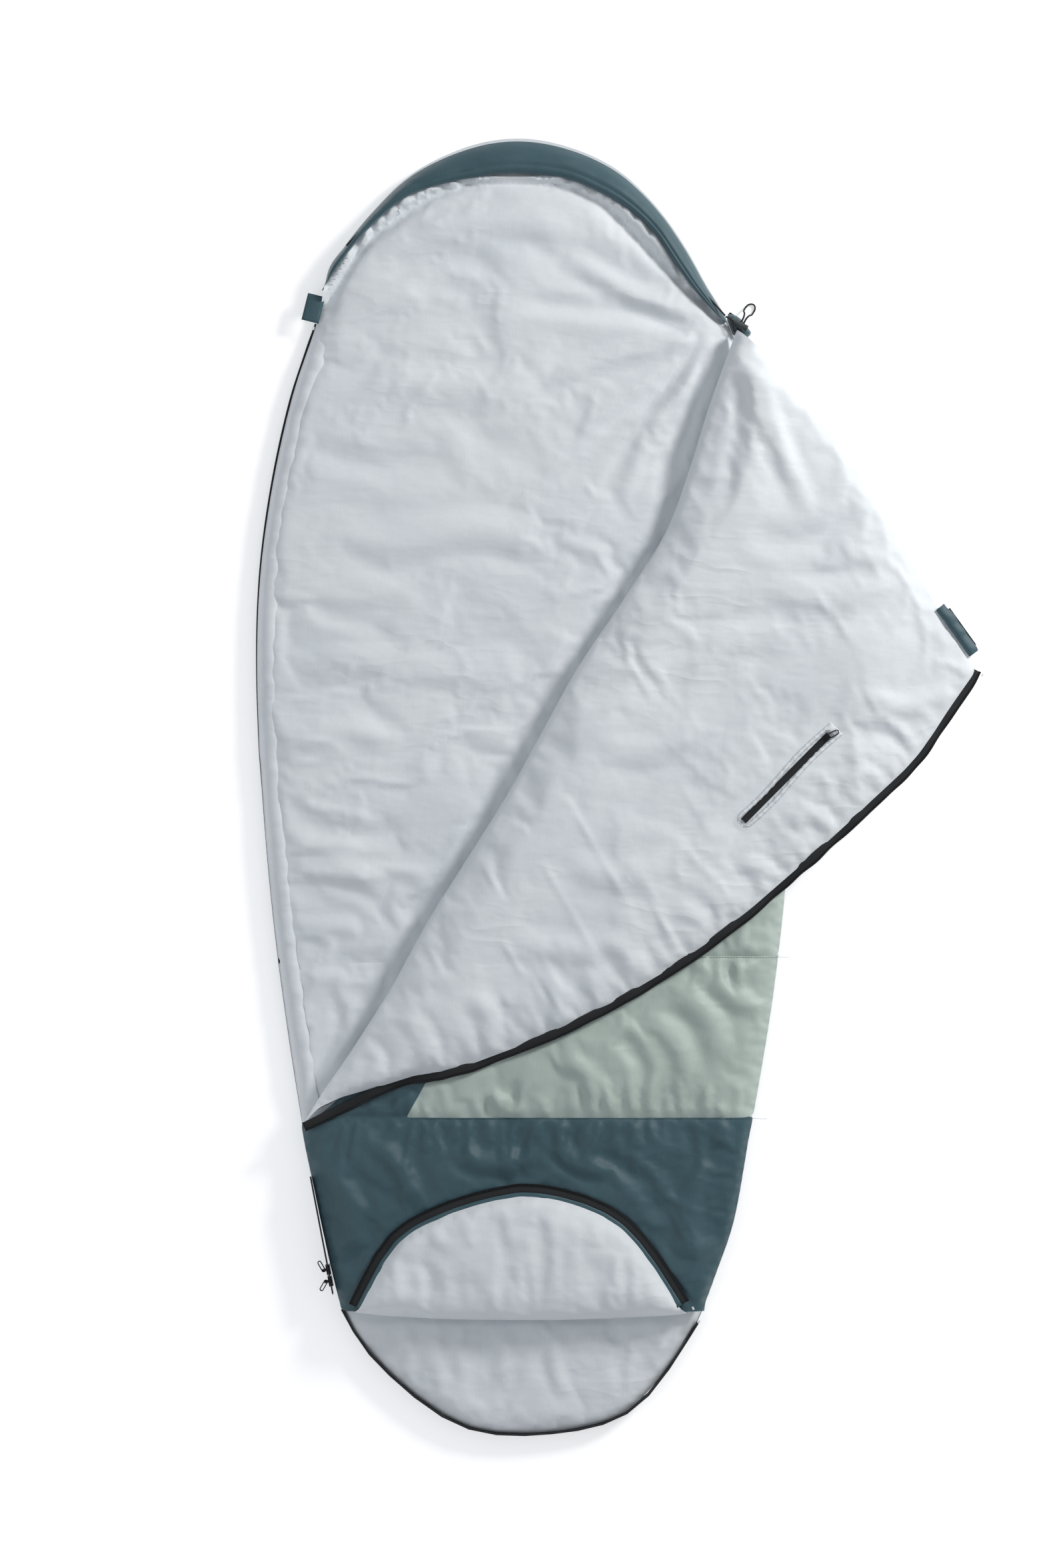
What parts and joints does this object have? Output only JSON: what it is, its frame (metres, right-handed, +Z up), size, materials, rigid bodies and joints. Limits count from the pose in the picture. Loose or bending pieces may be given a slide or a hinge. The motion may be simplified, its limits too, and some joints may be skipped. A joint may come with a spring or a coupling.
{
  "type": "sleeping bag",
  "caption": "Hooded egg-shaped quilted sleeping bag lying open, its cover folded back, with side and foot zips, a drawcord hood and a zipped inner pocket.",
  "frame": {"origin": "on the ground, at the middle of the plan outline of the bag with its cover folded open", "axes": "+Y along the bag towards the hood, +X to the side that the cover is folded to, +Z up"},
  "size_m": [1.2082, 2.1493, 0.093],
  "materials": {
    "teal_shell": "satin woven polyester",
    "sage_shell": "satin woven polyester with a soft sheen",
    "grey_lining": "matte brushed polyester",
    "batting": "loose white fibre batting",
    "zip_tape": "black woven tape",
    "zip_coil": "black nylon coil",
    "slider_metal": "black enamelled zinc",
    "white_stop": "white moulded plastic",
    "black_cord": "braided cord",
    "lock_plastic": "moulded plastic with a fine texture",
    "spring_steel": "bright drawn wire",
    "hook_tape": "hook-and-loop tape"
  },
  "bodies": {
    "mattress": {"base_shell": "teal_shell", "base_insulation": "batting", "base_lining_upper": "grey_lining", "base_lining_lower": "grey_lining", "side_draft_tube": "grey_lining", "hood_shell": "teal_shell", "hood_insulation": "batting", "hood_lining": "grey_lining", "hood_rim": "teal_shell", "hood_corner_gusset": "teal_shell", "drawcord": "black_cord", "drawcord_loop": "black_cord", "cover_lining": "grey_lining", "cover_insulation": "batting", "cover_shell_upper": "sage_shell", "cover_shell_lower": "sage_shell", "cover_shell_foot": "teal_shell", "right_side_seam": "sage_shell", "side_zip_tape_base": "zip_tape", "side_zip_coil_base": "zip_coil", "side_zip_tape_cover": "zip_tape", "side_zip_coil_cover": "zip_coil", "side_zip_stop": "white_stop", "foot_zip_tape_base": "zip_tape", "foot_zip_coil_base": "zip_coil", "foot_zip_stop": "white_stop", "foot_gusset": "teal_shell"},
    "cover_flap": {"flap_shell": "sage_shell", "flap_insulation": "batting", "flap_lining": "grey_lining", "flap_zip_tape": "zip_tape", "flap_zip_coil": "zip_coil", "flap_zip_stop": "white_stop", "pocket_bag": "grey_lining", "pocket_facing": "grey_lining", "pocket_zip_tape": "zip_tape", "pocket_zip_coil": "zip_coil"},
    "foot_flap": {"foot_flap_shell": "teal_shell", "foot_flap_insulation": "batting", "foot_flap_lining": "grey_lining", "foot_flap_zip_tape": "zip_tape", "foot_flap_zip_coil": "zip_coil", "foot_flap_zip_stop": "white_stop"},
    "side_slider": {"side_slider": "slider_metal"},
    "side_slider_pull": {"side_slider_pull": "black_cord"},
    "foot_slider": {"foot_slider": "slider_metal"},
    "foot_slider_pull": {"foot_slider_pull": "black_cord"},
    "pocket_slider": {"pocket_slider": "slider_metal"},
    "pocket_pull": {"pocket_pull": "slider_metal"},
    "cord_lock": {"cord_lock_body": "lock_plastic", "cord_lock_spring": "spring_steel"},
    "cord_lock_button": {"cord_lock_button": "lock_plastic"},
    "zip_garage_tab": {"zip_garage_tab": "teal_shell", "zip_garage_hook_tape": "hook_tape"},
    "corner_tab": {"corner_tab": "teal_shell", "corner_tab_hook_tape": "hook_tape"}
  },
  "joints": [
    {"name": "cover_fold", "type": "hinge", "parent": "mattress", "child": "cover_flap", "pos_m": [0.194, 0.749, 0.0603], "axis": [-0.4553, -0.8903, 0], "range_deg": [0, 180]},
    {"name": "foot_fold", "type": "hinge", "parent": "mattress", "child": "foot_flap", "pos_m": [-0.158, -0.864, 0.0603], "axis": [1, 0, 0], "range_deg": [0, 180]},
    {"name": "side_zip_slide", "type": "slide", "parent": "mattress", "child": "side_slider", "axis": [-0.1875, 0.9823, 0], "range_m": [0, 0.145]},
    {"name": "side_pull_swing", "type": "hinge", "parent": "side_slider", "child": "side_slider_pull", "pos_m": [-0.48816, -0.79978, 0.03], "axis": [0, 0, 1], "range_deg": [-15, 95]},
    {"name": "foot_zip_slide", "type": "slide", "parent": "mattress", "child": "foot_slider", "axis": [0.1875, -0.9823, 0], "range_m": [0, 0.012]},
    {"name": "foot_pull_swing", "type": "hinge", "parent": "foot_slider", "child": "foot_slider_pull", "pos_m": [-0.48453, -0.81878, 0.03], "axis": [0, 0, 1], "range_deg": [-95, 35]},
    {"name": "pocket_zip_slide", "type": "slide", "parent": "cover_flap", "child": "pocket_slider", "axis": [-0.7046, -0.7096, 0], "range_m": [0, 0.18]},
    {"name": "pocket_pull_swing", "type": "hinge", "parent": "pocket_slider", "child": "pocket_pull", "pos_m": [0.33907, 0.08103, 0.0908], "axis": [-0.4697, 0.8828, 0], "range_deg": [-150, 0]},
    {"name": "cord_lock_slide", "type": "slide", "parent": "mattress", "child": "cord_lock", "axis": [0.464, 0.8858, 0], "range_m": [0, 0.006]},
    {"name": "cord_lock_press", "type": "slide", "parent": "cord_lock", "child": "cord_lock_button", "axis": [0.8858, -0.464, 0], "range_m": [0, 0.002], "stiffness_N_per_m": 400, "springref_m": -0.001},
    {"name": "garage_tab_fold", "type": "hinge", "parent": "mattress", "child": "zip_garage_tab", "pos_m": [-0.495, 0.813, 0.0288], "axis": [0.2425, 0.9701, 0], "range_deg": [0, 105]},
    {"name": "corner_tab_fold", "type": "hinge", "parent": "cover_flap", "child": "corner_tab", "pos_m": [0.5288, 0.29259, 0.05604], "axis": [0.5905, -0.7983, -0.1181], "range_deg": [0, 170]}
  ]
}
